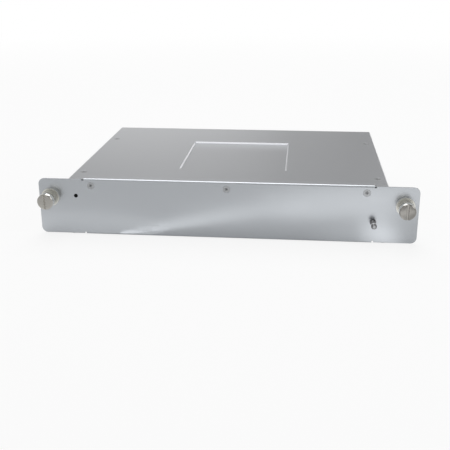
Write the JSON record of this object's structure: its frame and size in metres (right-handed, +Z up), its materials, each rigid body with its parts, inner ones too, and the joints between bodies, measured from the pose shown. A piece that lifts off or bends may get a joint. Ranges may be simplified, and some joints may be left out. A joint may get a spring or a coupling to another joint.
{
  "type": "charger power module",
  "caption": "Flat plug-in power module for a charger: folded sheet case with vented sides, front panel with ears and captive thumbscrews, earth stud and a rear blade connector.",
  "frame": {"origin": "under the middle of the module's box, on the plane it stands on", "axes": "+X to the right seen from the front, +Y from the front panel to the rear connector, +Z up"},
  "size_m": [0.28, 0.2038, 0.0436],
  "materials": {
    "case_sheet": "satin",
    "panel_sheet": "satin",
    "nickel": "polished",
    "zinc": "satin",
    "stud_steel": "dull",
    "fan_plastic": "matt",
    "board": "satin",
    "insulation": "satin",
    "moulded_black": "matt",
    "ferrite": "matt",
    "winding": "varnished",
    "copper": "bright",
    "heatsink": "satin",
    "can_sleeve": "gloss",
    "film_box": "gloss",
    "relay_case": "gloss",
    "ceramic": "gloss",
    "clear": "gloss",
    "plug": "matt",
    "contact": "bright"
  },
  "bodies": {
    "module": {"base_tray": "case_sheet", "top_cover": "case_sheet", "front_panel": "panel_sheet", "left_ferrule": "nickel", "right_ferrule": "nickel", "panel_screws": "zinc", "cover_screws": "zinc", "clinch_nuts": "zinc", "standoffs": "zinc", "board_screws": "zinc", "fan_screws": "zinc", "fan_bracket": "zinc", "earth_stud": "stud_steel", "front_fan_frame": "fan_plastic", "rear_fan_frame": "fan_plastic", "main_board": "board", "control_board": "board", "indicator_board": "board", "insulation_sheet": "insulation", "control_chips": "moulded_black", "power_transistors": "moulded_black", "output_rectifiers": "moulded_black", "rectifier_bridge": "moulded_black", "boost_inductor_core": "ferrite", "transformer_core": "ferrite", "resonant_inductor_core": "ferrite", "output_inductor_core": "ferrite", "input_choke_core": "ferrite", "boost_inductor_winding": "winding", "transformer_winding": "winding", "resonant_inductor_winding": "winding", "output_inductor_winding": "winding", "input_choke_winding": "winding", "output_busbars": "copper", "primary_heatsink": "heatsink", "secondary_heatsink": "heatsink", "bulk_capacitors": "can_sleeve", "output_capacitors": "can_sleeve", "film_capacitors": "film_box", "relay": "relay_case", "input_fuse": "ceramic", "light_pipe": "clear", "status_lamp": "clear", "rear_connector": "plug", "connector_blades": "contact", "signal_pins": "contact"},
    "left_spring_seat": {"left_spring": "zinc"},
    "left_screw": {"left_thumbscrew": "nickel"},
    "right_spring_seat": {"right_spring": "zinc"},
    "right_screw": {"right_thumbscrew": "nickel"},
    "front_fan": {"front_fan_impeller": "fan_plastic"},
    "rear_fan": {"rear_fan_impeller": "fan_plastic"}
  },
  "joints": [
    {"name": "left_press", "type": "slide", "parent": "module", "child": "left_spring_seat", "axis": [0, 1, 0], "range_m": [0, 0.003], "stiffness_N_per_m": 400, "springref_m": -0.002, "deforming": ["left_spring"]},
    {"name": "left_turn", "type": "hinge", "parent": "left_spring_seat", "child": "left_screw", "pos_m": [-0.1316, -0.0881, 0.0287], "axis": [0, 1, 0], "continuous": true},
    {"name": "right_press", "type": "slide", "parent": "module", "child": "right_spring_seat", "axis": [0, 1, 0], "range_m": [0, 0.003], "stiffness_N_per_m": 400, "springref_m": -0.002, "deforming": ["right_spring"]},
    {"name": "right_turn", "type": "hinge", "parent": "right_spring_seat", "child": "right_screw", "pos_m": [0.1304, -0.0881, 0.0287], "axis": [0, 1, 0], "continuous": true},
    {"name": "front_fan_spin", "type": "hinge", "parent": "module", "child": "front_fan", "pos_m": [0.1034, -0.0166, 0.0209], "axis": [1, 0, 0], "continuous": true},
    {"name": "rear_fan_spin", "type": "hinge", "parent": "module", "child": "rear_fan", "pos_m": [0.1034, 0.0198, 0.0209], "axis": [1, 0, 0], "continuous": true}
  ]
}
